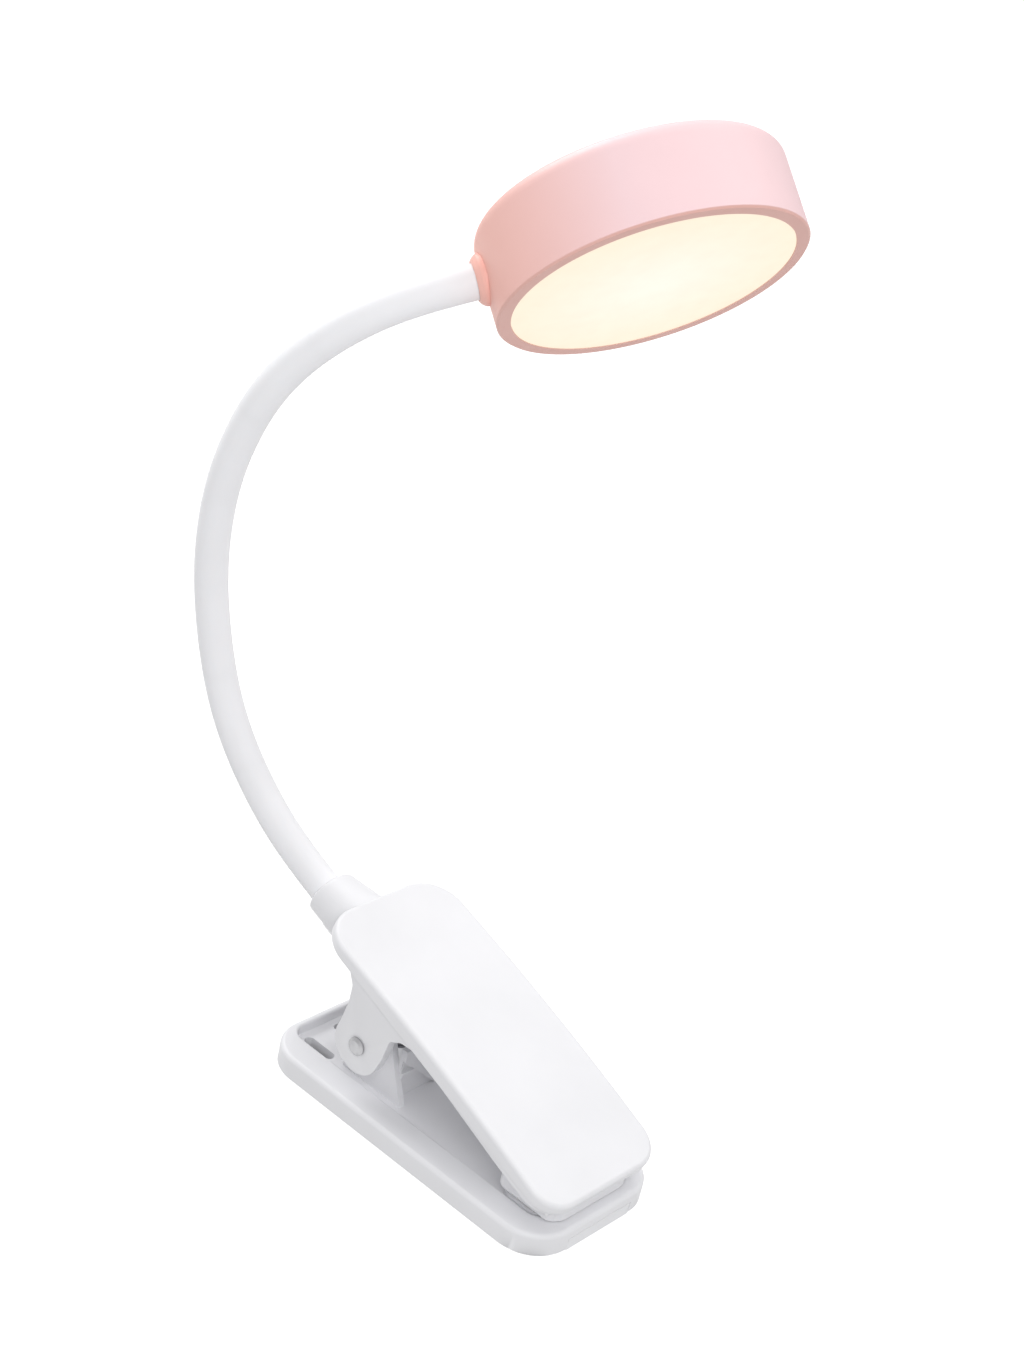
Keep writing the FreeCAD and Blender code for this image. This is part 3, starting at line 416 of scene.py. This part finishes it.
def tube(name, rings):
    """An open tube through rings of points."""
    bm = bmesh.new()
    rows = [[bm.verts.new(p) for p in ring] for ring in rings]
    for one, two in zip(rows, rows[1:]):
        for n in range(NECK_AROUND):
            after = (n + 1) % NECK_AROUND
            bm.faces.new((one[n], one[after], two[after], two[n]))
    return new_object(name, bm)


def neck_skin(material):
    """The sleeve: one smooth skin, cut at mid-link into pieces that each span one joint."""
    joints = [j for j in frame["joints"] if j["name"].startswith("neck_")]
    points = neck_line(joints)
    line = [points[0] + ALONG * d for d in INSIDE_SOCKET] + points
    line += [points[-1] + OUTWARD * d for d in INSIDE_BOSS]
    rings = neck_rings(line)
    first = len(INSIDE_SOCKET)
    half = STEPS_PER_LINK // 2
    last = len(line) - 1
    cuts = [0] + [first + STEPS_PER_LINK * k + half for k in range(1, len(joints))] + [last]
    for k, joint in enumerate(joints):
        piece = tube("neck_skin_%d" % (k + 1), rings[cuts[k]:cuts[k + 1] + 1])
        piece.data.materials.append(material)
        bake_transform(piece)
        covered = ["neck_sleeve_%d" % (k + 1)] + (["neck_sleeve_0"] if k == 0 else [])
        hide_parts(*covered)


# ---------------------------------------------------------------- clip

EDGE_WIDTH = 0.35 * MM
EDGE_SEGMENTS = 3
EDGE_ANGLE = math.radians(24.0)
SAME_POINT = 0.002 * MM
FLAT_ANGLE = math.radians(0.6)


def twisting_spring():
    """A copy of the spring's own mesh, put in place of the node."""
    thing = placed("spring_wound", NODES["torsion_spring"].data.copy())
    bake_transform(thing)
    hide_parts("torsion_spring")


def softened(node, body):
    """The same piece with its sharp edges broken, as a moulding's are; it replaces the node."""
    thing = placed(node + "_soft", NODES[node].data.copy())
    bm = bmesh.new()
    bm.from_mesh(thing.data)
    bmesh.ops.remove_doubles(bm, verts=bm.verts, dist=SAME_POINT)
    bmesh.ops.dissolve_limit(bm, angle_limit=FLAT_ANGLE, verts=bm.verts, edges=bm.edges,
                             delimit={"NORMAL"})
    bm.to_mesh(thing.data)
    bm.free()
    shade_smooth(thing.data)
    bevel = thing.modifiers.new("bevel", "BEVEL")
    bevel.width = EDGE_WIDTH
    bevel.segments = EDGE_SEGMENTS
    bevel.limit_method = "ANGLE"
    bevel.angle_limit = EDGE_ANGLE
    bevel.use_clamp_overlap = True
    bevel.harden_normals = True
    graph = bpy.context.evaluated_depsgraph_get()
    mesh = bpy.data.meshes.new_from_object(thing.evaluated_get(graph))
    thing.modifiers.clear()
    thing.data = mesh
    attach(thing, body)
    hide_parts(node)


# ---------------------------------------------------------------- floor, lights and camera

FLOOR_HALF = 1.8
FLOOR_CELLS = 24
# the clip's footprint, where the floor's glow is cut off as painted shade: half its size without the rounded
# corners, and their radius
FOOT_CORE = (0.0416, 0.0139, 1.0)
FOOT_CORNER = 13.4 * MM
# size and depth of a dark card under the clip: painted shade seen through its slots
SHADE_CARD_HALF = (0.054, 0.0265)
SHADE_CARD_DEPTH = 0.3 * MM

DOME_STRENGTH = 0.65
# the place, power and diameter of each area light
AREA_LIGHTS = {
    "key": ((0.10, 0.62, 0.95), 1.6, 0.5),
    "top": ((0.20, 0.10, 1.20), 0.7, 0.5),
    "front": ((0.55, -0.55, 0.75), 3.1, 0.4),
    "left": ((-0.85, 0.10, 0.75), 5.4, 0.6),
}
SPOT_PLACE, SPOT_POWER = (0.36, -0.28, 0.62), 1.2
SPOT_CONE, SPOT_BLEND, SPOT_RADIUS = math.radians(18), 0.7, 0.12

CAMERA_PLACE = (0.3356, -0.4733, 0.4460)
CAMERA_RIGHT = Vector((0.7228, 0.6627, 0.1958))
CAMERA_UP = Vector((-0.4455, 0.2303, 0.8651))
CAMERA_LENS = 65.93
SENSOR_HEIGHT = 36.0
NEAREST_SEEN = 0.05


def flat_sheet(name, material, cells, half, depth=0.0):
    """A level sheet that isn't part of the object."""
    bm = bmesh.new()
    bmesh.ops.create_grid(bm, x_segments=cells, y_segments=cells, size=1.0)
    bmesh.ops.transform(bm, verts=bm.verts, matrix=Matrix.Translation((0, 0, -depth))
                        @ Matrix.Diagonal((half[0], half[1], 1, 1)))
    sheet = new_object(name, bm)
    sheet.data.materials.append(material)
    return sheet


def paper():
    """White paper lit through from below; its glow is cut off under the clip's footprint, a painted shade seen
    through the clip's slots.
    """
    m = Nodes("paper")
    m.feed("Base Color", m.ramp(m.noise(3.0, 2.0), 0.26, 0.3))
    # painted shade: no glow inside the clip's footprint, fading in near its edge
    past_core = m.vector("SUBTRACT", m.vector("ABSOLUTE", m.place), FOOT_CORE)
    away = m.vector("LENGTH", m.vector("MAXIMUM", past_core), output="Value")
    m.feed("Emission Color", m.ramp(m.number("DIVIDE", away, FOOT_CORNER), 0.0, 1.0, 0.78, 0.95))
    m.settle(Roughness=0.9, Specular_IOR_Level=0.0, Emission_Strength=0.97)
    return m.material


def painted_shade_card():
    """A nearly black card: painted shade, seen through the clip's slots."""
    m = Nodes("card")
    m.feed("Base Color", m.ramp(m.noise(20.0, 2.0), 0.04, 0.06))
    m.settle(Roughness=0.9, Specular_IOR_Level=0.0)
    return m.material


def floor():
    """A pale floor that throws no light on the lamp, and a dark card under the clip's slots as painted shade."""
    sheet = flat_sheet("floor", paper(), FLOOR_CELLS, (FLOOR_HALF, FLOOR_HALF))
    sheet.visible_diffuse = False
    # painted shade: a nearly black card just under the floor, below the clip's slots
    flat_sheet("slot_shadow_sheet", painted_shade_card(), 1, SHADE_CARD_HALF, SHADE_CARD_DEPTH)


def light(name, kind, place, target, power, **more):
    """A light at a place, turned towards a target."""
    data = bpy.data.lights.new(name, kind)
    data.energy = power
    for key, value in more.items():
        setattr(data, key, value)
    thing = placed(name, data)
    thing.location = place
    thing.rotation_euler = (Vector(target) - Vector(place)).to_track_quat("-Z", "Y").to_euler()


def lights():
    """A soft dome, four area lights round the lamp and a spot on the head."""
    world = bpy.data.worlds.new("dome")
    bpy.context.scene.world = world
    world.use_nodes = True
    back = world.node_tree.nodes["Background"]
    back.inputs["Color"].default_value = (1.0, 1.0, 1.0, 1.0)
    back.inputs["Strength"].default_value = DOME_STRENGTH

    middle = (Vector(CAD_BOX[0]) + Vector(CAD_BOX[1])) / 2
    for name, (place, power, size) in AREA_LIGHTS.items():
        light(name, "AREA", place, middle, power, shape="DISK", size=size)
    light("head_spot", "SPOT", SPOT_PLACE, DRUM, SPOT_POWER, spot_size=SPOT_CONE,
          spot_blend=SPOT_BLEND, shadow_soft_size=SPOT_RADIUS)


def camera():
    """The camera at the photograph's viewing angle."""
    data = bpy.data.cameras.new("camera")
    data.sensor_fit = "VERTICAL"
    data.sensor_height = SENSOR_HEIGHT
    data.lens = CAMERA_LENS
    data.clip_start = NEAREST_SEEN
    thing = placed("camera", data)
    turn = Matrix((CAMERA_RIGHT, CAMERA_UP, CAMERA_RIGHT.cross(CAMERA_UP))).transposed().to_4x4()
    thing.matrix_world = Matrix.Translation(CAMERA_PLACE) @ turn
    bpy.context.scene.camera = thing
    bpy.context.scene.view_settings.view_transform = "Standard"


# ---------------------------------------------------------------- make everything

finishes = finishes_by_slot()
dress(finishes)
neck_skin(finishes["neck_silicone"])
softened("lower_jaw", "clip_base")
softened("lever_frame", "lever")
twisting_spring()
floor()
lights()
camera()
